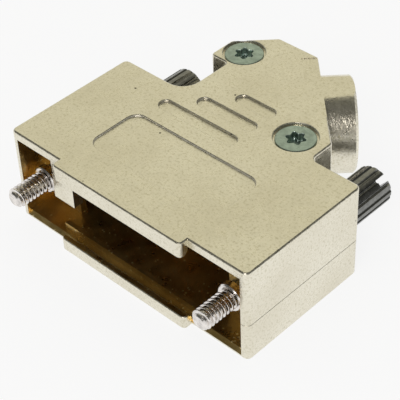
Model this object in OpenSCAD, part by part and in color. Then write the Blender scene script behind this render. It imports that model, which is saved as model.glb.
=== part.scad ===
// Die-cast metal hood for a 15-way D-sub connector, with a 45 degree cable exit.
// Frame: X along the connector, +Y towards the rear, +Z up.
// Origin: midway between the two jackscrew axes, in the plane of the front face.

/* [Hood body] */
// Distance of each jackscrew axis from the side of the hood
jack_margin = 4.05; // [3.6:0.05:6]
// Depth of the straight part of the hood, front face to rear wall
body_d = 21.0; // [18:0.5:26]
// Height of the closed hood
body_h = 14.4; // [14:0.1:16]
// Height of the parting plane above the underside
parting_h = 5.8; // [5:0.1:6.2]
// Thickness of the side and rear walls
wall = 1.1; // [0.8:0.05:1.2]
// Thickness of the roof
roof_t = 1.2; // [0.9:0.05:1.4]
// Thickness of the floor
floor_t = 0.9; // [0.7:0.05:1.1]
// Radius of the upright corners
corner_r = 0.8; // [0.5:0.05:1.2]
// Radius of the smaller upright corners, on the neck and the lips
neck_r = 0.6; // [0.55:0.05:0.9]
// Bevel on the outer edge of the cable collar
collar_bevel = 0.35; // [0.2:0.05:0.4]

/* [Connector mouth] */
// Width of the two lips that hold the connector's flange
lip_w = 22.6; // [20:0.2:26]
// How far each lip stands out of the front face
lip_out = 1.35; // [1:0.05:1.8]
// Height of the upper lip
lip_upper_h = 2.4; // [2:0.1:2.8]
// Height of the lower lip
lip_lower_h = 2.0; // [1.6:0.1:2.4]
// Depth of the slot that takes the connector's flange
flange_slot = 1.05; // [0.8:0.05:1.3]
// Thickness of the ridge behind the flange on the floor
ridge_t = 0.7; // [0.5:0.1:1]
// Length of the ridge behind the flange
ridge_w = 26.2; // [22:0.2:27]
// Height of the ridge above the floor
ridge_h = 1.0; // [0.6:0.1:1.4]
// Width of each post behind the flange
post_w = 3.8; // [3:0.1:4]
// Depth of each post behind the flange
post_t = 1.5; // [1:0.1:2]
// Gap between each post and the retaining ring beside it
post_gap = 0.25; // [0.15:0.05:0.6]

/* [Neck and cable exit] */
// Room between the left side of the neck and the jackscrew head beside it
left_room = 4.37; // [3:0.01:5]
// Room between the right side of the neck and the jackscrew head beside it
right_room = 1.17; // [0.5:0.01:1.6]
// Room between the end of the left jackscrew head and the screw pad behind it
pad_room = 0.15; // [0.1:0.05:1]
// Length of the screw pad, front to rear
pad_len = 9.1; // [8.6:0.1:10]
// Leg of the chamfer on the outer corner of the screw pad
pad_chamfer = 4.8; // [4:0.1:5.2]
// Where the plane of the exit face meets the hood's middle plane, behind the rear wall
exit_reach = 16.76; // [16:0.01:18]
// Where the cable axis meets the hood's middle plane, behind the rear wall
cable_reach = 8.8; // [8:0.1:9.4]
// Height of the cable axis above the jackscrew axes
cable_z = 0.7; // [0.4:0.05:0.9]
// Outer radius of the cable collar
collar_r = 6.75; // [6.4:0.05:7]
// Length of the cable collar outside the exit face
collar_len = 4.3; // [3.5:0.1:6]
// Radius of the cable hole
cable_hole_r = 4.6; // [4:0.05:4.8]
// Depth of the flat on top of the collar, below the top face
collar_flat = 0.1; // [0.05:0.01:0.2]
// Radius of the fillet between the rear wall and the neck
neck_fillet = 2.7; // [2:0.1:3]

/* [Top face] */
// Width of the label recess
label_w = 21.9; // [18:0.1:24]
// Depth of the label recess, front to rear
label_d = 8.6; // [7:0.1:9]
// Front edge of the label recess behind the front face
label_front = 4.8; // [4:0.1:6]
// Depth of the label recess into the roof
label_t = 0.25; // [0.15:0.05:0.35]
// Corner radius of the label recess
label_r = 1.6; // [1:0.1:2.5]
// Width of each decorative groove
groove_w = 1.9; // [1.5:0.1:2.2]
// Distance between the decorative grooves
groove_pitch = 3.75; // [3.4:0.05:4]
// Length of the longest decorative groove
groove_len = 13.4; // [12:0.1:14]
// How much shorter each further groove is
groove_step = 3.5; // [3:0.1:4]
// How far the longest groove starts ahead of the rear wall
groove_reach = 4.8; // [4:0.1:6]
// Right end of the grooves, measured from the middle of the hood
groove_end = 3.3; // [2:0.1:4]
// Depth of the decorative grooves
groove_t = 0.3; // [0.2:0.05:0.4]

/* [Cover screws] */
// Radius of the cover screw thread
cover_r = 1.5; // [1.25:0.25:1.5]
// Radius of the cover screw head
cover_head_r = 2.75; // [2.5:0.05:2.9]
// Length of the cover screw
cover_len = 12.0; // [11:0.5:12.5]
// Depth of the cover screw heads below the top face
cover_sink = 0.2; // [0.1:0.05:0.3]
// Radius of the recess round each cover screw head
cover_recess_r = 3.0; // [2.95:0.05:3.2]
// Radius of the bosses round the cover screws
boss_r = 2.3; // [2.2:0.05:2.7]
// Distance of the left cover screw from the left side and the front of its pad
pad_inset = 3.3; // [3.2:0.05:3.5]
// Distance of the right cover screw from the right side of the neck
neck_inset = 4.35; // [3.8:0.05:4.6]
// Distance of the right cover screw behind the rear wall
neck_reach = 2.1; // [1.6:0.1:2.4]

/* [Jackscrews] */
// Distance between the two jackscrew axes
jack_pitch = 33.3; // [30:0.1:48]
// Thread radius of the jackscrews
jack_thread_r = 1.42; // [1.3:0.01:1.45]
// How far the thread stands out of the front face
jack_out = 4.1; // [3:0.1:7]
// Radius of the plain shaft
jack_shaft_r = 1.45; // [1.35:0.05:1.5]
// Radius of the splined head
jack_head_r = 2.78; // [2.4:0.01:2.9]
// Length of the splined head
jack_head_len = 8.4; // [6:0.1:12]
// Number of grooves round the splined head
spline_n = 16; // [10:1:18]
// Radius of each groove of the splined head
spline_r = 0.24; // [0.15:0.01:0.28]
// Width of the screwdriver slot
driver_w = 1.0; // [0.8:0.1:1.2]
// Depth of the screwdriver slot
driver_t = 1.8; // [1.2:0.1:2.4]
// Radius of the groove that carries the retaining ring
ring_seat_r = 1.1; // [0.9:0.05:1.15]
// Outer radius of the retaining ring
ring_r = 1.92; // [1.85:0.01:2]
// Thickness of the retaining ring
ring_t = 1.2; // [0.8:0.1:1.4]
// Front of the retaining ring behind the front face
ring_y = 1.2; // [1.1:0.05:1.4]
// Travel of each jackscrew, forward stop to rear stop
jack_travel = 2.0; // [1:0.1:4]

/* [Strain relief] */
// Distance of the strap inside the exit face, along the cable
strap_inset = 3.3; // [3.1:0.1:3.5]
// Width of the strap along the cable
strap_w = 3.6; // [3:0.1:3.8]
// Thickness of the strap
strap_t = 0.8; // [0.6:0.05:0.9]
// Inner radius of the strap's arch
strap_r = 3.8; // [3.4:0.05:3.8]
// Distance of the clamp screws from the cable axis
clamp_q = 6.35; // [6.3:0.01:6.4]
// Thread radius of the clamp screws
clamp_r = 1.0; // [0.8:0.1:1]
// Head radius of the clamp screws
clamp_head_r = 1.5; // [1.4:0.05:1.6]
// Head height of the clamp screws
clamp_head_h = 1.3; // [1:0.1:1.6]
// Length of the clamp screws under the head
clamp_len = 4.2; // [3:0.1:4.4]

/* [Clearances] */
// Play round a turning or sliding shaft
shaft_gap = 0.15; // [0.1:0.05:0.2]
// Play of a screw thread in its hole
thread_gap = 0.03; // [0.01:0.01:0.1]
// Play of a seated piece
seat_gap = 0.05; // [0.03:0.01:0.1]

/* [Hidden] */
$fn = 48;

// Heights in the part's frame
top_z = body_h / 2;
bottom_z = -body_h / 2;
parting_z = bottom_z + parting_h;
ceiling_z = top_z - roof_t;
floor_z = bottom_z + floor_t;

// Places of the jackscrews and of what holds them
jack_x = jack_pitch / 2;
rear_y = body_d;
shaft_y = ring_y + ring_t + seat_gap;
web_y = ring_y + ring_t + jack_travel + seat_gap;
web_t = 1.0;
head_y = rear_y + seat_gap;
head_end_y = head_y + jack_head_len;
post_x = jack_x - ring_r - post_gap;
body_w = jack_pitch + 2 * jack_margin;
inner_x = body_w / 2 - wall;

// Sides of the neck and of its screw pad, and their rear end
neck_left = jack_x - jack_head_r - left_room;
neck_right = jack_x - jack_head_r - right_room;
pad_left = neck_right;
pad_y = head_end_y + pad_room;
neck_y = pad_y + pad_len;

// Exit face, cable axis and strap, along the cable and square to it
exit_s = (rear_y + exit_reach) / sqrt(2);
cable_q = (rear_y + cable_reach) / sqrt(2);
strap_s = exit_s - strap_inset;
groove_front = rear_y - groove_reach;

// Axes of the two cover screws
cover_left = [pad_inset - pad_left, pad_y + pad_inset];
cover_right = [neck_right - neck_inset, rear_y + neck_reach];

// Cover screw head: a straight rim over a 45 degree cone
rim_h = 0.2;
cone_h = cover_head_r - cover_r;
rim_z = top_z - cover_sink - rim_h;
cover_tip_z = top_z - cover_sink - cover_len;
clamp_tip_z = parting_z + strap_t - clamp_len;
clamp_post_w = 0.15;
clamp_post_r = clamp_head_r + clamp_post_w;

// Small fixed details
tip_h = 0.3;
socket_r = 1.37;
socket_t = 1.1;
cross_w = 0.4;
ring_gap = 1.2;
lip_bevel = 0.6;
floor_bevel = 0.5;
flat_reach = 2.3;
neck_root_r = 1;
hole_room = 0.4;
way_ease = 0.5;
// How far cuts and joined pieces run past each other
over = 1;

// Tongues of the lower shell that locate the upper one
tongue_t = 0.6;
tongue_h = 0.8;
tongue_inset = 2;
tongue_y = web_y + web_t + tongue_inset;
tongue_len = rear_y - wall - tongue_inset - tongue_y;

// Corner list of the hood's plan, counter-clockwise: place and radius of each
function plan(front) = [
    [-body_w / 2, front, corner_r],
    [body_w / 2, front, corner_r],
    [body_w / 2, rear_y, corner_r],
    [neck_right, rear_y, neck_root_r],
    [neck_right, exit_s * sqrt(2) - neck_right, neck_r],
    [exit_s * sqrt(2) - neck_y, neck_y, neck_r],
    [pad_chamfer - pad_left, neck_y, corner_r],
    [-pad_left, neck_y - pad_chamfer, corner_r],
    [-pad_left, pad_y, neck_r],
    [-neck_left, pad_y, neck_r],
    [-neck_left, rear_y, neck_fillet],
    [-body_w / 2, rear_y, corner_r]
];

// Corner list of a rectangle with equal corners
function box_plan(x0, y0, x1, y1, r) = [[x0, y0, r], [x1, y0, r], [x1, y1, r], [x0, y1, r]];

// Both lips share one plan; its rear part lies in the roof or the floor
lip_plan = box_plan(-lip_w / 2, -lip_out, lip_w / 2, 2 * wall, neck_r);

function flat(p) = [p.x, p.y];
function unit(v) = v / norm(v);
function left_of(v) = [-v.y, v.x];
function turned(v, a) = [v.x * cos(a) - v.y * sin(a), v.x * sin(a) + v.y * cos(a)];

// Points round one corner after the outline has moved inwards by inset
function corner(before, at, after, inset, steps) =
    let(
        u = unit(flat(at) - flat(before)),
        v = unit(flat(after) - flat(at)),
        bend = atan2(u.x * v.y - u.y * v.x, u * v),
        side = sign(bend),
        start = flat(at) - u * at.z * tan(abs(bend) / 2),
        centre = start + left_of(u) * side * at.z,
        r = at.z - side * inset
    )
    r > 0
        ? [for (k = [0:steps]) centre - turned(left_of(u), bend * k / steps) * side * r]
        : [flat(at) + (left_of(u) + left_of(v)) * inset / (1 + u * v)];

// Closed outline of a corner list, moved inwards by inset
function outline(corners, inset = 0, steps = 5) =
    let(n = len(corners))
    [for (i = [0:n - 1])
        each corner(corners[(i + n - 1) % n], corners[i], corners[(i + 1) % n], inset, steps)];

// Block with a rounded plan between two heights
module block(corners, low, high) {
    translate([0, 0, low]) linear_extrude(high - low) polygon(outline(corners));
}

// Places children on the cable: first axis along it, second square to it
module on_cable(s = 0, z = cable_z) {
    rotate([0, 0, 45]) translate([s, cable_q, z]) children();
}

// Round bar along the cable axis, tapered where a second radius is given
module along_cable(r, from, to, r2 = undef) {
    on_cable(from) rotate([0, 90, 0]) cylinder(r1 = r, r2 = is_undef(r2) ? r : r2, h = to - from);
}

// Round bar parallel to a jackscrew, tapered where a second radius is given
module along_jack(r, from, to, r2 = undef) {
    translate([0, from, 0]) rotate([-90, 0, 0]) cylinder(r1 = r, r2 = is_undef(r2) ? r : r2, h = to - from);
}

// Repeats children, as made on the left and mirrored on the right
module both_sides() {
    children();
    mirror([1, 0, 0]) children();
}

module at_cover_screws() {
    translate(cover_left) children();
    translate(cover_right) children();
}

module at_clamp_screws() {
    for (side = [-1, 1]) on_cable(strap_s, 0) translate([0, side * clamp_q, 0]) children();
}

// Space inside the closed hood between two heights, open at the front
module cavity(low, high) {
    translate([0, 0, low]) linear_extrude(high - low) polygon(outline(plan(-wall), wall));
}

// Part of the cable collar between two heights, with its outer edge eased
module cable_collar(low, high) {
    start = exit_s - wall / 2;
    end = exit_s + collar_len;
    intersection() {
        union() {
            along_cable(collar_r, start, end - collar_bevel);
            along_cable(collar_r, end - collar_bevel, end, collar_r - collar_bevel);
        }
        on_cable(start, low) translate([0, -2 * collar_r, 0])
            cube([2 * collar_len, 4 * collar_r, high - low]);
    }
}

// Way for the cable through the exit wall and the collar, with an eased mouth
module cable_way() {
    end = exit_s + collar_len;
    along_cable(cable_hole_r, exit_s - 3 * wall, end + over);
    along_cable(cable_hole_r, end - way_ease, end + way_ease, cable_hole_r + 2 * way_ease);
}

// Notches that carry the jackscrew shafts, in the front webs and the rear wall
module shaft_ways() {
    r = jack_shaft_r + shaft_gap;
    both_sides() translate([-jack_x, 0, 0]) {
        along_jack(r, web_y - over, rear_y + over);
        translate([-r, web_y - over, parting_z - over])
            cube([2 * r, rear_y - web_y + 2 * over, over - parting_z]);
    }
}

// Webs behind the retaining rings, which stop the jackscrews at their rear end
module webs(low, high) {
    both_sides() translate([-inner_x - wall / 2, web_y, low])
        cube([wall / 2 + 2 * (inner_x - jack_x), web_t, high - low]);
}

// Bevel along a front edge at one height, from x0 to x1
module front_bevel(x0, x1, z, leg) {
    translate([x0, 0, z]) rotate([45, 0, 0]) translate([0, -leg / sqrt(2), -leg / sqrt(2)])
        cube([x1 - x0, sqrt(2) * leg, sqrt(2) * leg]);
}

module label_recess() {
    translate([0, 0, top_z - label_t]) linear_extrude(2 * label_t)
        polygon(outline(box_plan(-label_w / 2, label_front, label_w / 2, label_front + label_d, label_r)));
}

// Three round-ended grooves that shorten towards the cable exit
module top_grooves() {
    r = groove_w / 2;
    for (k = [0:2])
        let(length = groove_len - k * groove_step)
        translate([groove_end - length, groove_front + r + k * groove_pitch, top_z - groove_t])
        linear_extrude(2 * groove_t) {
            translate([r, 0]) circle(r);
            translate([length - r, 0]) circle(r);
            translate([r, -r]) square([length - 2 * r, groove_w]);
        }
}

// Shallow flat on top of the collar and the neck in front of it
module collar_top() {
    on_cable(exit_s - flat_reach, top_z - collar_flat)
        translate([0, -collar_r, 0]) cube([flat_reach + 2 * collar_len, 2 * collar_r, over]);
}

// Seats of the cover screw heads and their clearance holes
module cover_seats() {
    at_cover_screws() {
        cylinder(r = cover_r + shaft_gap, h = 2 * body_h, center = true);
        translate([0, 0, rim_z - cone_h - seat_gap]) cylinder(r1 = cover_r, r2 = cover_head_r, h = cone_h);
        translate([0, 0, rim_z - seat_gap]) cylinder(r = cover_recess_r, h = body_h);
    }
}

// Everything inside the shells that stands on their walls, kept within half the wall
module fitted_inside(low, high) {
    intersection() {
        translate([0, 0, low]) linear_extrude(high - low) polygon(outline(plan(0), wall / 2));
        union() children();
    }
}

module upper_shell() {
    color([0.71, 0.69, 0.58])
    difference() {
        union() {
            difference() {
                union() {
                    block(plan(0), parting_z, top_z);
                    block(lip_plan, top_z - lip_upper_h, top_z);
                }
                cavity(bottom_z, ceiling_z);
                front_bevel(-lip_w / 2 - over, lip_w / 2 + over, top_z - lip_upper_h, lip_bevel);
            }
            cable_collar(parting_z, top_z - collar_flat);
            fitted_inside(parting_z, top_z - roof_t / 2) {
                at_cover_screws() cylinder(r = boss_r, h = 2 * body_h, center = true);
                both_sides() translate([-post_x, flange_slot, parting_z]) cube([post_w, post_t, body_h]);
                webs(parting_z, top_z);
            }
        }
        cable_way();
        shaft_ways();
        cover_seats();
        label_recess();
        top_grooves();
        collar_top();
    }
}

module lower_shell() {
    color([0.74, 0.73, 0.66])
    difference() {
        union() {
            difference() {
                union() {
                    block(plan(0), bottom_z, parting_z);
                    block(lip_plan, bottom_z, bottom_z + lip_lower_h);
                }
                cavity(floor_z, top_z);
                front_bevel(-lip_w / 2 - over, lip_w / 2 + over, bottom_z + lip_lower_h, lip_bevel);
                both_sides() front_bevel(lip_w / 2, inner_x, floor_z, floor_bevel);
            }
            cable_collar(bottom_z, parting_z);
            fitted_inside(bottom_z + floor_t / 2, parting_z) {
                at_cover_screws() cylinder(r = boss_r, h = 2 * body_h, center = true);
                at_clamp_screws() cylinder(r = clamp_post_r, h = 2 * body_h, center = true);
                translate([-ridge_w / 2, flange_slot, bottom_z])
                    cube([ridge_w, ridge_t, floor_t + ridge_h]);
                both_sides() translate([-inner_x - wall / 2, tongue_y, bottom_z])
                    cube([wall / 2 + seat_gap + tongue_t, tongue_len, body_h]);
                webs(bottom_z, parting_z);
            }
            both_sides() translate([-inner_x + seat_gap, tongue_y, parting_z - over])
                cube([tongue_t, tongue_len, over + tongue_h]);
        }
        cable_way();
        shaft_ways();
        at_cover_screws() translate([0, 0, cover_tip_z - hole_room])
            cylinder(r = cover_r + thread_gap, h = body_h);
        at_clamp_screws() translate([0, 0, clamp_tip_z - hole_room])
            cylinder(r = clamp_r + thread_gap, h = body_h);
    }
}

// Six-lobed driver socket, outline only
module six_lobes(r) {
    difference() {
        union() {
            circle(0.8 * r);
            for (a = [0:60:300]) rotate(a) translate([0.78 * r, 0]) circle(0.22 * r);
        }
        for (a = [30:60:330]) rotate(a) translate([1.04 * r, 0]) circle(0.3 * r);
    }
}

module cover_screw() {
    difference() {
        union() {
            translate([0, 0, rim_z]) cylinder(r = cover_head_r, h = rim_h);
            translate([0, 0, rim_z - cone_h]) cylinder(r1 = cover_r, r2 = cover_head_r, h = cone_h);
            translate([0, 0, cover_tip_z + tip_h])
                cylinder(r = cover_r, h = rim_z - cone_h - cover_tip_z - tip_h);
            translate([0, 0, cover_tip_z]) cylinder(r1 = cover_r - tip_h, r2 = cover_r, h = tip_h);
        }
        translate([0, 0, rim_z + rim_h - socket_t]) linear_extrude(2 * socket_t) six_lobes(socket_r);
    }
}

module cover_screw_left() {
    color([0.62, 0.69, 0.64]) translate(cover_left) rotate(8) cover_screw();
}

module cover_screw_right() {
    color([0.62, 0.69, 0.64]) translate(cover_right) rotate(22) cover_screw();
}

// Turned screw along +Y: thread, ring groove, shaft and splined head with a driver slot
module jackscrew(slot_angle) {
    difference() {
        union() {
            along_jack(jack_thread_r - tip_h, -jack_out, tip_h - jack_out, jack_thread_r);
            along_jack(jack_thread_r, tip_h - jack_out, ring_y - seat_gap);
            along_jack(ring_seat_r, ring_y - over, shaft_y + over);
            along_jack(jack_shaft_r, shaft_y, head_y + over);
            along_jack(jack_head_r, head_y, head_end_y - tip_h);
            along_jack(jack_head_r, head_end_y - tip_h, head_end_y, jack_head_r - tip_h);
        }
        for (k = [0:spline_n - 1]) rotate([0, k * 360 / spline_n, 0])
            translate([jack_head_r, 0, 0]) along_jack(spline_r, head_y - over, head_end_y + over, $fn = 16);
        rotate([0, slot_angle, 0]) translate([-body_w / 2, head_end_y - driver_t, -driver_w / 2])
            cube([body_w, 2 * driver_t, driver_w]);
    }
}

module jackscrew_left() {
    color([0.42, 0.43, 0.42]) translate([-jack_x, 0, 0]) jackscrew(20);
}

module jackscrew_right() {
    color([0.42, 0.43, 0.42]) translate([jack_x, 0, 0]) jackscrew(-50);
}

// Open ring that snaps into the groove behind the thread
module retaining_ring() {
    ease = 0.15;
    difference() {
        union() {
            along_jack(ring_r - ease, ring_y, ring_y + ease, ring_r);
            along_jack(ring_r, ring_y + ease, ring_y + ring_t - ease);
            along_jack(ring_r, ring_y + ring_t - ease, ring_y + ring_t, ring_r - ease);
        }
        along_jack(ring_seat_r + seat_gap, ring_y - over, ring_y + ring_t + over);
        translate([-ring_gap / 2, ring_y - over, -2 * ring_r])
            cube([ring_gap, ring_t + 2 * over, 2 * ring_r]);
    }
}

module retaining_ring_left() {
    color([0.8, 0.79, 0.76]) translate([-jack_x, 0, 0]) retaining_ring();
}

module retaining_ring_right() {
    color([0.8, 0.79, 0.76]) translate([jack_x, 0, 0]) retaining_ring();
}

// Arched strap that presses the cable, lying on the two clamp posts
module cable_clamp() {
    color([0.66, 0.66, 0.64])
    difference() {
        union() {
            at_clamp_screws() translate([0, 0, parting_z]) cylinder(r = clamp_head_r, h = strap_t);
            on_cable(strap_s, parting_z) translate([-strap_w / 2, -clamp_q, 0])
                cube([strap_w, 2 * clamp_q, strap_t]);
            intersection() {
                along_cable(strap_r + strap_t, strap_s - strap_w / 2, strap_s + strap_w / 2);
                on_cable(strap_s, parting_z) translate([-strap_w, -clamp_q, 0])
                    cube([2 * strap_w, 2 * clamp_q, body_h]);
            }
        }
        along_cable(strap_r, strap_s - strap_w, strap_s + strap_w);
        at_clamp_screws() cylinder(r = clamp_r + shaft_gap, h = body_h, center = true);
    }
}

// Pan-headed screw with a cross recess
module clamp_screw() {
    seat_z = parting_z + strap_t;
    difference() {
        union() {
            translate([0, 0, seat_z]) cylinder(r = clamp_head_r, h = clamp_head_h - tip_h);
            translate([0, 0, seat_z + clamp_head_h - tip_h])
                cylinder(r1 = clamp_head_r, r2 = clamp_head_r - tip_h, h = tip_h);
            translate([0, 0, clamp_tip_z]) cylinder(r = clamp_r, h = clamp_len + tip_h);
        }
        for (a = [0, 90]) rotate(a) translate([-clamp_head_r / 2, -cross_w / 2, seat_z + clamp_head_h / 2])
            cube([clamp_head_r, cross_w, clamp_head_h]);
    }
}

module clamp_screw_left() {
    color([0.7, 0.7, 0.7]) on_cable(strap_s, 0) translate([0, clamp_q, 0]) clamp_screw();
}

module clamp_screw_right() {
    color([0.7, 0.7, 0.7]) on_cable(strap_s, 0) translate([0, -clamp_q, 0]) clamp_screw();
}

upper_shell();
lower_shell();
cover_screw_left();
cover_screw_right();
jackscrew_left();
jackscrew_right();
retaining_ring_left();
retaining_ring_right();
cable_clamp();
clamp_screw_left();
clamp_screw_right();
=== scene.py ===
import math
import bpy
import bmesh
from mathutils import Matrix, Vector


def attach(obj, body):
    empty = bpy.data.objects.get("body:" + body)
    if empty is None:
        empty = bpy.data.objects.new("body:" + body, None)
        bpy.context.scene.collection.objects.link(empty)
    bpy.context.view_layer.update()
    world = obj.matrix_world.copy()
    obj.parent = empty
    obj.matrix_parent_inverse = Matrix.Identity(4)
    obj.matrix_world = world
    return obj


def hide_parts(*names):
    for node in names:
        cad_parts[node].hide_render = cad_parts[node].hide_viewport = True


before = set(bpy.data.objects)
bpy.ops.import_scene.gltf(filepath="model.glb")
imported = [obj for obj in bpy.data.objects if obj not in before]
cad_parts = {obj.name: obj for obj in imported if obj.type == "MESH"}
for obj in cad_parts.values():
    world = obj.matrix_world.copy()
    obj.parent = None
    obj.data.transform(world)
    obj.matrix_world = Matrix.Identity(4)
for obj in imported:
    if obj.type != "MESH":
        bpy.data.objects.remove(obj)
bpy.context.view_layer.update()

# Lengths in this script are millimetres until a mesh is finished.
MM = 0.001
ROOT2 = math.sqrt(2)
TURN = 2 * math.pi

# The hood's own sizes, as in the CAD part. The cable leaves at 45 degrees: EXIT is how far
# along it the angled face lies, CABLE_Q and CABLE_Z place its axis across and in height.
TOP, BOTTOM, PARTING = 7.2, -7.2, -1.4
HALF_W, REAR, WALL = 20.7, 21.0, 1.1
NECK_L, NECK_R, PAD_Y, NECK_END, CHAMFER = 9.5, 12.7, 29.6, 38.7, 4.8
EXIT = (REAR + 16.76) / ROOT2
CABLE_Q, CABLE_Z = (REAR + 8.8) / ROOT2, 0.7
COLLAR_R, COLLAR_LEN = 6.75, 4.3
LIP_HALF, LIP_OUT, LIP_UP, LIP_LOW = 11.3, 1.35, 2.4, 2.0

# Marks in the top face: label recess (x0, y0, x1, y1), three grooves, seats of the cover screws
LABEL, LABEL_CORNER = (-10.95, 4.8, 10.95, 13.4), 1.6
GROOVES, GROOVE_Y, GROOVE_STEP, GROOVE_W, GROOVE_CORNER = 3, 16.2, 3.75, 1.9, 0.949
GROOVE_RIGHT, GROOVE_LEN, GROOVE_SHORTER = 3.3, 13.4, 3.5
SEAT_R, SEAT_CORNER = 3, 2.999

# Jackscrews, and the cover screws as (x, y, turn of the star in degrees)
JACK_X, THREAD_R, SHAFT_R, HEAD_R = 16.65, 1.42, 1.45, 2.78
TIP_Y, THREAD_END, HEAD_Y, HEAD_END = -4.1, 1.15, 21.05, 29.45
THREAD_PITCH, THREAD_ROOT = 0.635, 1.06
RING_SEAT_R, RING_SEAT_END = 1.1, 2.45
SPLINES, SPLINE_W, SPLINE_DEPTH = 16, 0.25, 0.26
SLOT_HALF_W, SLOT_DEPTH = 0.5, 1.8
COVER = {"left": (-9.4, 32.9, 8), "right": (8.35, 23.1, 22)}
STAR_R, STAR_WAVE, STAR_POINTS = 1.16, 0.2, 6

# Roundings: an envelope stands GROW outside the flat faces, a cutter CUT_GROW outside its rim
# and CUT_ABOVE over the top face. Each half is drawn in by CREASE at the parting line.
GROW, ROUND_STEPS = 0.01, 4
CUT_GROW, CUT_STEPS, CUT_ABOVE = 0.03, 3, 0.3
CREASE = 0.05
LEAST_R = 0.02
SHARP_ANGLE = 32

# Right post (x0, y0, x1, y1), which only the solid has, and the roof that it hangs from
RIGHT_POST, ROOF = (10.3, 0.9, 14.6, 2.7), 5.995

# Faces with the thinner inner plating lie between these heights, and not on the post
INSIDE_LOW, INSIDE_HIGH = -6.95, 6.04
POST_X, POST_Y, POST_LOW = (10.5, 14.6), 2.6, -1.5


# ---------------------------------------------------------------- mesh tools

def new_object(name, data):
    obj = bpy.data.objects.new(name, data)
    bpy.context.scene.collection.objects.link(obj)
    return obj


def mesh_object(name, points, faces):
    mesh = bpy.data.meshes.new(name)
    mesh.from_pydata([tuple(p) for p in points], [], faces)
    mesh.update()
    return new_object(name, mesh)


def loft(name, rings):
    """Closed solid over rings of equal point count, lowest first, counter-clockwise from above."""
    n = len(rings[0])
    points = [p for ring in rings for p in ring]
    faces = []
    for k in range(len(rings) - 1):
        for i in range(n):
            j = (i + 1) % n
            faces.append((k * n + i, k * n + j, (k + 1) * n + j, (k + 1) * n + i))
    faces.append(tuple(range(n - 1, -1, -1)))
    faces.append(tuple((len(rings) - 1) * n + i for i in range(n)))
    return mesh_object(name, points, faces)


def ring_points(radius, z, steps):
    """Ring round the Z axis. The radius is a number or a function of the angle."""
    points = []
    for k in range(steps):
        a = TURN * k / steps
        r = radius(a) if callable(radius) else radius
        points.append((r * math.cos(a), r * math.sin(a), z))
    return points


def outline(corners, inset=0.0, steps=6):
    """Closed outline of a list of (x, y, radius) corners, moved inwards by inset."""
    out = []
    n = len(corners)
    for i in range(n):
        a, b, c = (Vector(corners[k % n][:2]) for k in (i - 1, i, i + 1))
        r0 = corners[i][2]
        u, v = (b - a).normalized(), (c - b).normalized()
        bend = math.atan2(u.x * v.y - u.y * v.x, u.dot(v))
        side = 1 if bend > 0 else -1
        start = b - u * r0 * math.tan(abs(bend) / 2)
        left = Vector((-u.y, u.x))
        centre = start + left * side * r0
        r = max(r0 - side * inset, LEAST_R)
        for k in range(steps + 1):
            w = left.copy()
            w.rotate(Matrix.Rotation(bend * k / steps, 2))
            out.append(centre - w * side * r)
    return out


def within(p, corners):
    """True where p lies inside a closed outline, seen from above."""
    inside = False
    for i, b in enumerate(corners):
        a = corners[i - 1]
        if (a.y > p.y) != (b.y > p.y) and p.x < (b.x - a.x) * (p.y - a.y) / (b.y - a.y) + a.x:
            inside = not inside
    return inside


def box_plan(x0, y0, x1, y1, r):
    return [(x0, y0, r), (x1, y0, r), (x1, y1, r), (x0, y1, r)]


def stack(name, corners, levels, steps=6):
    """Solid through (height, inset) levels of one outline."""
    return loft(name, [[(p.x, p.y, z) for p in outline(corners, i, steps)] for z, i in levels])


def rounded(top, r, up=True):
    """(height, inset) levels of a convex rounding that ends at height top."""
    sign = 1 if up else -1
    levels = []
    for k in range(ROUND_STEPS + 1):
        a = math.pi / 2 * k / ROUND_STEPS
        levels.append((top + sign * (GROW - r + r * math.sin(a)), r - r * math.cos(a) - GROW))
    return levels if up else levels[::-1]


def combine(a, b, how):
    """Boolean of a with b, which is used up."""
    mod = a.modifiers.new("cut", "BOOLEAN")
    mod.operation, mod.solver, mod.object = how, "EXACT", b
    bpy.context.view_layer.update()
    evaluated = a.evaluated_get(bpy.context.evaluated_depsgraph_get())
    result = bpy.data.meshes.new_from_object(evaluated)
    a.modifiers.clear()
    a.data = result
    bpy.data.objects.remove(b)


def finish_piece(obj, material, body, replaced):
    """Scales a piece from millimetres to metres, sets its shading and ties it to the frame."""
    obj.data.transform(Matrix.Scale(MM, 4))
    obj.data.materials.clear()
    obj.data.materials.append(material)
    for poly in obj.data.polygons:
        poly.material_index = 0
        poly.use_smooth = True
    obj.data.set_sharp_from_angle(angle=math.radians(SHARP_ANGLE))
    mod = obj.modifiers.new("normals", "WEIGHTED_NORMAL")
    mod.keep_sharp = True
    mod.weight = 60
    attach(obj, body)
    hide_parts(*replaced)


def cad_copy(node, name):
    """Copy of a CAD node's mesh in millimetres, with its split corners joined."""
    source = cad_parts[node]
    mesh = source.data.copy()
    mesh.transform(source.matrix_world)
    mesh.transform(Matrix.Scale(1 / MM, 4))
    bm = bmesh.new()
    bm.from_mesh(mesh)
    bmesh.ops.remove_doubles(bm, verts=bm.verts, dist=0.0005)
    bmesh.ops.recalc_face_normals(bm, faces=bm.faces)
    bm.to_mesh(mesh)
    bm.free()
    if mesh.has_custom_normals:
        mesh.attributes.remove(mesh.attributes["custom_normal"])
    return new_object(name, mesh)


# ---------------------------------------------------------------- materials

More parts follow.
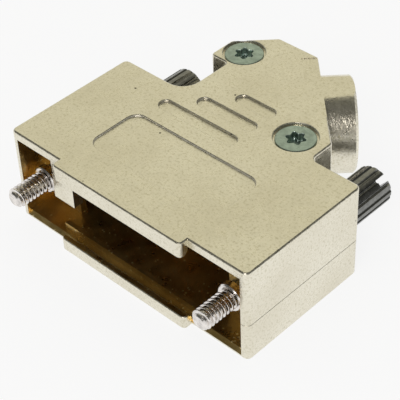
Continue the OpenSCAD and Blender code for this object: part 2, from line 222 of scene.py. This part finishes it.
class Nodes:
    """Shader nodes of a new material or world."""

    def __init__(self, owner):
        self.owner = owner
        owner.use_nodes = True
        self.tree = owner.node_tree
        kinds = ("BSDF_PRINCIPLED", "BACKGROUND")
        self.shader = next(n for n in self.tree.nodes if n.type in kinds)
        self.coords = self.add("ShaderNodeTexCoord")
        self.place = self.coords.outputs["Object"]

    def add(self, kind, **values):
        """New node. Each value sets the attribute of that name, or else the input."""
        node = self.tree.nodes.new(kind)
        for key, value in values.items():
            if hasattr(node, key):
                setattr(node, key, value)
            else:
                node.inputs[key].default_value = value
        return node

    def link(self, a, b):
        self.tree.links.new(a, b)

    def feed(self, socket, value):
        """Puts a number, a colour or another node's output into a socket."""
        if isinstance(value, (int, float)):
            socket.default_value = value
        elif isinstance(value, tuple):
            socket.default_value = (*value, 1)
        else:
            self.link(value, socket)

    def noise(self, scale, detail=2.0, rough=0.55):
        node = self.add("ShaderNodeTexNoise", Scale=scale, Detail=detail, Roughness=rough)
        self.link(self.place, node.inputs["Vector"])
        return node.outputs["Fac"]

    def dots(self, scale, size):
        """1 on small round dots, one to a cell of 1/scale metres"""
        node = self.add("ShaderNodeTexVoronoi", Scale=scale)
        self.link(self.place, node.inputs["Vector"])
        return self.ramp(node.outputs["Distance"], [(size * 0.6, 1), (size, 0)])

    def ramp(self, fac, stops):
        """Colour ramp through (place, grey value or colour) stops"""
        node = self.add("ShaderNodeValToRGB")
        elements = node.color_ramp.elements
        while len(elements) < len(stops):
            elements.new(0.5)
        for element, (at, value) in zip(elements, stops):
            element.position = at
            element.color = (*value, 1) if isinstance(value, tuple) else (value, value, value, 1)
        self.link(fac, node.inputs["Fac"])
        return node.outputs["Color"]

    def math(self, how, a, b):
        node = self.add("ShaderNodeMath", operation=how)
        self.feed(node.inputs[0], a)
        self.feed(node.inputs[1], b)
        return node.outputs[0]

    def mix(self, fac, a, b):
        node = self.add("ShaderNodeMix", data_type="RGBA")
        for value, key in ((fac, 0), (a, 6), (b, 7)):
            self.feed(node.inputs[key], value)
        return node.outputs[2]

    def bump(self, height, strength, distance, before=None):
        node = self.add("ShaderNodeBump", Strength=strength, Distance=distance)
        self.link(height, node.inputs["Height"])
        if before is not None:
            self.link(before, node.inputs["Normal"])
        return node.outputs["Normal"]

    def set(self, **values):
        """Feeds the shader's inputs, with _ for a space in a name."""
        for key, value in values.items():
            self.feed(self.shader.inputs[key.replace("_", " ")], value)

    def seen(self):
        """1 for rays to the camera, straight or by way of metal or glass"""
        path = self.add("ShaderNodeLightPath")
        seen = self.math("MAXIMUM", path.outputs["Is Camera Ray"], path.outputs["Is Glossy Ray"])
        return self.math("MAXIMUM", seen, path.outputs["Is Transmission Ray"])


def cast_nickel():
    """Satin plating over a cast surface, with sand grain and a few dark pits"""
    m = Nodes(bpy.data.materials.new("cast_nickel"))
    broad = m.noise(110, 3)
    grain = m.noise(2900, 3, 0.65)
    patches = m.ramp(broad, [(0.35, 0), (0.65, 1)])
    colour = m.mix(patches, (0.78, 0.735, 0.60), (0.85, 0.81, 0.68))
    colour = m.mix(m.ramp(grain, [(0.30, 0), (0.50, 1)]), (0.62, 0.58, 0.44), colour)
    some = m.ramp(m.noise(150, 1), [(0.50, 0), (0.53, 1)])
    pits = m.math("MULTIPLY", m.dots(330, 0.06), some)
    colour = m.mix(pits, colour, (0.05, 0.04, 0.03))
    m.set(Base_Color=colour, Metallic=1.0)
    m.set(Roughness=m.ramp(m.noise(700, 3), [(0.3, 0.24), (0.7, 0.36)]))
    soft = m.bump(m.noise(1000, 3), 0.5, 0.00008)
    fine = m.bump(grain, 0.8, 0.00005, soft)
    m.set(Normal=m.bump(pits, -0.8, 0.0001, fine))
    return m.owner


def thin_plate():
    """Inner walls, where the plating is thin and the brassy base shows through"""
    m = Nodes(bpy.data.materials.new("thin_plate"))
    patches = m.ramp(m.noise(160, 3), [(0.35, 0), (0.65, 1)])
    colour = m.mix(patches, (0.50, 0.33, 0.10), (0.70, 0.52, 0.22))
    # Small bright cream specks are painted glints in the colour; they are also bumped
    some = m.ramp(m.noise(700, 2), [(0.50, 0), (0.58, 1)])
    painted_glints = m.math("MULTIPLY", m.dots(1500, 0.28), some)
    colour = m.mix(painted_glints, colour, (0.95, 0.85, 0.55))
    m.set(Base_Color=colour, Metallic=1.0)
    m.set(Roughness=m.ramp(m.noise(500, 3), [(0.3, 0.26), (0.7, 0.40)]))
    m.set(Normal=m.bump(m.noise(1900, 3), 0.8, 0.00005, m.bump(painted_glints, 0.6, 0.00005)))
    return m.owner


def zinc_plate(name, tone, rough):
    """Even plating of one tone with darker spots"""
    m = Nodes(bpy.data.materials.new(name))
    spots = m.ramp(m.noise(1500, 3), [(0.35, 0), (0.65, 1)])
    dark = tuple(0.72 * c for c in tone)
    m.set(Base_Color=m.mix(spots, dark, tone), Metallic=1.0)
    m.set(Roughness=m.ramp(m.noise(900, 2), [(0.3, rough - 0.06), (0.7, rough + 0.08)]))
    m.set(Normal=m.bump(m.noise(3200, 2), 0.3, 0.00002))
    return m.owner


MATS = {
    "shell": cast_nickel(),
    "zinc": zinc_plate("zinc_plate", (0.42, 0.52, 0.47), 0.30),
    # Darker copy of the screws' nickel: painted shade on the shaft and head, which face the dark
    # rear
    "jackscrew": zinc_plate("shaded_screw_nickel", (0.27, 0.27, 0.255), 0.27),
    "nickel": zinc_plate("bright_nickel", (0.88, 0.84, 0.80), 0.18),
    "inside": thin_plate(),
}


# ---------------------------------------------------------------- the two shells

PLAN = [
    (-HALF_W, 0, 0.8), (HALF_W, 0, 0.8), (HALF_W, REAR, 0.8), (NECK_R, REAR, 1.0),
    (NECK_R, EXIT * ROOT2 - NECK_R, 0.6), (EXIT * ROOT2 - NECK_END, NECK_END, 0.6),
    (CHAMFER - NECK_R, NECK_END, 0.8), (-NECK_R, NECK_END - CHAMFER, 0.8),
    (-NECK_R, PAD_Y, 0.6), (-NECK_L, PAD_Y, 0.6), (-NECK_L, REAR, 2.7), (-HALF_W, REAR, 0.8),
]
LIP_PLAN = box_plan(-LIP_HALF, -LIP_OUT, LIP_HALF, 2 * WALL, 0.6)


def cable_bar(name, r, start, end, steps=96):
    """Round bar along the cable axis."""
    along = Vector((1 / ROOT2, 1 / ROOT2, 0))
    side = Vector((-1 / ROOT2, 1 / ROOT2, 0))
    upward = Vector((0, 0, r))
    angles = [TURN * k / steps for k in range(steps)]
    rings = []
    for s in (start, end):
        centre = along * s + side * CABLE_Q + Vector((0, 0, CABLE_Z))
        rings.append([centre + side * r * math.cos(a) + upward * math.sin(a) for a in angles])
    return loft(name, rings)


def rim_levels(depth, lip, foot):
    """(height, inset) levels of a cutter for a shallow recess in the top face, with a rim of
    radius lip and a fillet of radius foot round its floor."""
    floor = [(TOP - depth, foot - CUT_GROW)]
    for k in range(1, CUT_STEPS + 1):
        a = math.pi / 2 * k / CUT_STEPS
        z = TOP - depth + foot - foot * math.cos(a)
        floor.append((z, foot - foot * math.sin(a) - CUT_GROW))
    rim = []
    for k in range(CUT_STEPS + 1):
        a = math.pi / 2 * k / CUT_STEPS
        rim.append((TOP - lip + lip * math.sin(a), -CUT_GROW - lip + lip * math.cos(a)))
    return floor + rim + [(TOP + CUT_ABOVE, -CUT_GROW - lip)]


def envelope(levels, lip_levels):
    """Rounded body, lip and collar, to which the sharp solid of a shell is cut."""
    body = stack("envelope", PLAN, levels)
    combine(body, stack("lip", LIP_PLAN, lip_levels), "UNION")
    collar = cable_bar("collar", COLLAR_R + 0.1, EXIT - 0.5, EXIT + COLLAR_LEN + 1)
    combine(body, collar, "UNION")
    return body


def plate_inside(obj, lip_top):
    """Gives the faces inside the hood, and the top of a lip, their thinner plating."""
    room = outline(PLAN, WALL - 0.06)
    obj.data.materials.append(MATS["inside"])
    for poly in obj.data.polygons:
        p = poly.center / MM
        mouth = 0.04 < p.y < 2 * WALL and abs(p.x) < HALF_W - WALL + 0.05
        post = p.y < POST_Y and p.z > POST_LOW and POST_X[0] < abs(p.x) < POST_X[1]
        if (mouth or within(p, room)) and INSIDE_LOW < p.z < INSIDE_HIGH and not post:
            poly.material_index = 1
        if lip_top is not None and abs(p.z - lip_top) < 0.03:
            if p.y < 0.1 and abs(poly.normal.z) > 0.9:
                poly.material_index = 1


def upper_shell():
    shell = cad_copy("upper_shell", "upper_hood")
    crease = [(PARTING - CREASE, CREASE), (PARTING, CREASE), (PARTING + 0.06, -GROW)]
    lip_levels = rounded(TOP - LIP_UP, r=0.2, up=False) + rounded(TOP, r=0.3)
    combine(shell, envelope(crease + rounded(TOP, r=0.35), lip_levels), "INTERSECT")

    # The photograph shows no post behind the right end of the lip
    post = stack("post", box_plan(*RIGHT_POST, 0.05), [(PARTING - 1, 0), (ROOF, 0)], steps=1)
    combine(shell, post, "DIFFERENCE")

    levels = rim_levels(depth=0.30, lip=0.17, foot=0.13)
    combine(shell, stack("label", box_plan(*LABEL, LABEL_CORNER), levels), "DIFFERENCE")
    levels = rim_levels(depth=0.36, lip=0.18, foot=0.16)
    for k in range(GROOVES):
        x = GROOVE_RIGHT - (GROOVE_LEN - GROOVE_SHORTER * k)
        y = GROOVE_Y + GROOVE_STEP * k
        plan = box_plan(x, y, GROOVE_RIGHT, y + GROOVE_W, GROOVE_CORNER)
        combine(shell, stack("groove", plan, levels, steps=10), "DIFFERENCE")
    levels = rim_levels(depth=0.3, lip=0.12, foot=0.05)
    for x, y, _ in COVER.values():
        plan = box_plan(x - SEAT_R, y - SEAT_R, x + SEAT_R, y + SEAT_R, SEAT_CORNER)
        combine(shell, stack("seat", plan, levels, steps=12), "DIFFERENCE")
    finish_piece(shell, MATS["shell"], "hood", ["upper_shell"])
    plate_inside(shell, None)


def lower_shell():
    shell = cad_copy("lower_shell", "lower_hood")
    crease = [(PARTING - 0.06, -GROW), (PARTING, CREASE), (PARTING + 1.5, CREASE)]
    lip_levels = rounded(BOTTOM, r=0.25, up=False) + rounded(BOTTOM + LIP_LOW, r=0.22)
    levels = rounded(BOTTOM, r=0.3, up=False) + crease
    combine(shell, envelope(levels, lip_levels), "INTERSECT")
    finish_piece(shell, MATS["shell"], "hood", ["lower_shell"])
    plate_inside(shell, BOTTOM + LIP_LOW)


# ---------------------------------------------------------------- turned pieces

def turned(name, rows, steps):
    """Solid of rows along Y. A row is (y, radius) or (y, function of the angle)."""
    points, faces = [], []
    for y, r in rows:
        for k in range(steps):
            a = TURN * k / steps
            radius = r(a) if callable(r) else r
            points.append((radius * math.sin(a), y, radius * math.cos(a)))
    for j in range(len(rows) - 1):
        for k in range(steps):
            n = (k + 1) % steps
            faces.append((j * steps + k, (j + 1) * steps + k, (j + 1) * steps + n, j * steps + n))
    for j, ring in ((0, range(steps)), (len(rows) - 1, range(steps - 1, -1, -1))):
        points.append((0, rows[j][0], 0))
        base = j * steps
        for i, k in enumerate(ring):
            faces.append((base + k, base + ring[(i + 1) % steps], len(points) - 1))
    return mesh_object(name, points, faces)


def join(parts, name):
    bm = bmesh.new()
    for part in parts:
        bm.from_mesh(part.data)
        bpy.data.objects.remove(part)
    mesh = bpy.data.meshes.new(name)
    bm.to_mesh(mesh)
    bm.free()
    return new_object(name, mesh)


def thread_radius(y):
    """Radius of the thread at y by angle: rounded crests and roots, and a tapered tip."""
    root_share, flank_share, tip_r, tip_slope = 0.18, 0.56, 0.9, 1.1

    def radius(a):
        t = ((y - THREAD_PITCH * a / TURN) / THREAD_PITCH) % 1
        h = min(max((1 - abs(2 * t - 1) - root_share) / flank_share, 0), 1)
        h = h * h * (3 - 2 * h) * 0.5 + h * 0.5
        return min(THREAD_ROOT + (THREAD_R - THREAD_ROOT) * h, tip_r + (y - TIP_Y) * tip_slope)
    return radius


def spline_radius(cut):
    """Radius of the splined head by angle, where its ribs are lower by cut."""
    def radius(a):
        off = (a / TURN * SPLINES) % 1 - 0.5
        gap = abs(off) * TURN * HEAD_R / SPLINES
        groove = max(0, 1 - (gap / SPLINE_W) ** 2) ** 0.5
        return HEAD_R - cut - max(SPLINE_DEPTH - cut, 0) * groove
    return radius


def star_radius(grow):
    """Radius of the six-lobed socket by angle, widened by grow."""
    def radius(a):
        return STAR_R + grow + STAR_WAVE * math.cos(STAR_POINTS * a)
    return radius


def jackscrew(side, x, slot_turn):
    rows = [(TIP_Y, 0.8)]
    y = TIP_Y
    while y < THREAD_END:
        rows.append((y, thread_radius(y)))
        y += THREAD_PITCH / 22
    rows.append((THREAD_END, THREAD_ROOT))
    thread = turned("thread", rows, 60)
    shaft = turned("shaft", [
        (1.0, RING_SEAT_R), (RING_SEAT_END, RING_SEAT_R), (RING_SEAT_END, 1.35),
        (2.55, SHAFT_R), (HEAD_Y + 0.5, SHAFT_R),
    ], 48)
    head = turned("head", [
        (HEAD_Y, 2.5), (HEAD_Y, spline_radius(0.15)), (HEAD_Y + 0.15, spline_radius(0.0)),
        (HEAD_END - 0.3, spline_radius(0.0)), (HEAD_END - 0.1, spline_radius(0.12)),
        (HEAD_END, spline_radius(0.3)), (HEAD_END, 2.2),
    ], 192)
    plan = box_plan(-4, -SLOT_HALF_W, 4, SLOT_HALF_W, 0.02)
    slot = stack("slot", plan, [(0, 0), (2.5, 0)], steps=1)
    slot.data.transform(Matrix.Rotation(math.radians(-90), 4, "X"))
    slot.data.transform(Matrix.Translation((0, HEAD_END - SLOT_DEPTH, 0)))
    slot.data.transform(Matrix.Rotation(math.radians(slot_turn), 4, "Y"))
    combine(head, slot, "DIFFERENCE")
    screw = join([thread, shaft, head], "threaded_jackscrew_" + side)
    screw.data.transform(Matrix.Translation((x, 0, 0)))
    finish_piece(screw, MATS["jackscrew"], side + "_screw", ["jackscrew_" + side])

    # The screw is one nickel piece: its shaft and head carry a darker copy of the nickel as
    # painted shade, and the front end with the thread keeps the brighter nickel
    screw.data.materials.append(MATS["nickel"])
    for poly in screw.data.polygons:
        if poly.center.y < 3 * MM:
            poly.material_index = 1


def cover_screw(side, x, y, turn):
    levels = [
        (-5.0, 1.2), (-4.7, 1.5), (5.5, 1.5), (6.75, 2.72),
        (6.85, 2.75), (6.93, 2.73), (6.98, 2.66), (7.0, 2.55),
    ]
    screw = loft("screw_" + side, [ring_points(r, z, 96) for z, r in levels])
    socket = [
        (5.9, -0.22), (6.1, -0.06), (6.88, 0.0),
        (6.95, 0.03), (7.02, 0.09), (7.3, 0.09),
    ]
    star = [ring_points(star_radius(grow), z, 120) for z, grow in socket]
    combine(screw, loft("star", star), "DIFFERENCE")
    screw.name = "star_screw_" + side
    screw.data.transform(Matrix.Rotation(math.radians(turn), 4, "Z"))
    screw.data.transform(Matrix.Translation((x, y, 0)))
    finish_piece(screw, MATS["zinc"], "hood", ["cover_screw_" + side])


upper_shell()
lower_shell()
jackscrew("left", -JACK_X, 20)
jackscrew("right", JACK_X, -50)
for side, (x, y, turn) in COVER.items():
    cover_screw(side, x, y, turn)

# CAD nodes that are shown as they are, with their materials
CARRIED = {
    "retaining_ring_left": "nickel", "retaining_ring_right": "nickel",
    "cable_clamp": "zinc", "clamp_screw_left": "zinc", "clamp_screw_right": "zinc",
}
for node, slot in CARRIED.items():
    for material_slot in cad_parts[node].material_slots:
        material_slot.material = MATS[slot]


# ---------------------------------------------------------------- floor, light and camera

def pale_floor():
    size = 1.5
    corners = [(-size, -size, 0), (size, -size, 0), (size, size, 0), (-size, size, 0)]
    floor = mesh_object("floor", corners, [(0, 1, 2, 3)])
    floor.location.z = BOTTOM * MM
    m = Nodes(bpy.data.materials.new("pale_floor"))
    m.set(Base_Color=(0.86, 0.86, 0.85), Roughness=0.9, Specular_IOR_Level=0.0)
    glow = m.add("ShaderNodeEmission", Strength=1.0)
    mix = m.add("ShaderNodeMixShader")
    m.link(m.math("MULTIPLY", m.seen(), 0.85), mix.inputs["Fac"])
    m.link(m.shader.outputs[0], mix.inputs[1])
    m.link(glow.outputs[0], mix.inputs[2])
    output = next(n for n in m.tree.nodes if n.type == "OUTPUT_MATERIAL")
    m.link(mix.outputs[0], output.inputs["Surface"])
    floor.data.materials.append(m.owner)


def surroundings():
    """Even light for dull surfaces. The camera and the metal see a pale horizon under a dark
    sky, with a large pale card above the rear left, which the top face mirrors."""
    pale, dark = (1, 1, 1), (0.10, 0.10, 0.09)
    world = bpy.data.worlds.new("studio")
    bpy.context.scene.world = world
    w = Nodes(world)
    direction = w.coords.outputs["Generated"]
    split = w.add("ShaderNodeSeparateXYZ")
    w.link(direction, split.inputs[0])
    sky = w.ramp(split.outputs["Z"], [(0.0, pale), (0.06, pale), (0.22, dark), (1.0, dark)])
    toward = w.add("ShaderNodeVectorMath", operation="DOT_PRODUCT")
    toward.inputs[1].default_value = Vector((-0.55, 0.58, 0.60)).normalized()
    w.link(direction, toward.inputs[0])
    edge = {"From Min": 0.72, "From Max": 0.93}
    card = w.add("ShaderNodeMapRange", interpolation_type="SMOOTHSTEP", **edge)
    w.link(toward.outputs["Value"], card.inputs["Value"])
    sky = w.mix(card.outputs["Result"], sky, (0.74, 0.71, 0.56))
    w.set(Color=w.mix(w.seen(), (0.62, 0.62, 0.61), sky))


def key_light():
    place, aim = Vector((0.22, -0.42, 0.36)), Vector((0, 0.015, 0))
    light = bpy.data.lights.new("key", "AREA")
    light.shape, light.size, light.energy = "SQUARE", 0.22, 0.9
    light.color = (1, 0.96, 0.95)
    obj = new_object("key", light)
    obj.location = place
    obj.rotation_euler = (aim - place).to_track_quat("-Z", "Y").to_euler()


def main_camera():
    """The photograph's camera, by a pinhole fit to the edges of the body"""
    az, el, roll = math.radians(45.3), math.radians(40.8), math.radians(-2.67)
    aim, distance, shift_right, shift_up = Vector((0, 0.01038, 0)), 0.1724, 0.0023, 0.00004
    level = Vector((math.cos(az), math.sin(az), 0))
    back = Vector((math.sin(az) * math.cos(el), -math.cos(az) * math.cos(el), math.sin(el)))
    upright = back.cross(level)
    right = math.cos(roll) * level + math.sin(roll) * upright
    up = -math.sin(roll) * level + math.cos(roll) * upright
    place = aim + back * distance + right * shift_right + up * shift_up
    camera = bpy.data.cameras.new("camera")
    camera.lens, camera.sensor_width = 119.7, 36
    camera.clip_start, camera.clip_end = 0.005, 10
    obj = new_object("camera", camera)
    obj.matrix_world = Matrix((
        (right.x, up.x, back.x, place.x), (right.y, up.y, back.y, place.y),
        (right.z, up.z, back.z, place.z), (0, 0, 0, 1)))
    bpy.context.scene.camera = obj


pale_floor()
surroundings()
key_light()
main_camera()
bpy.context.scene.view_settings.view_transform = "Standard"
bpy.context.view_layer.update()
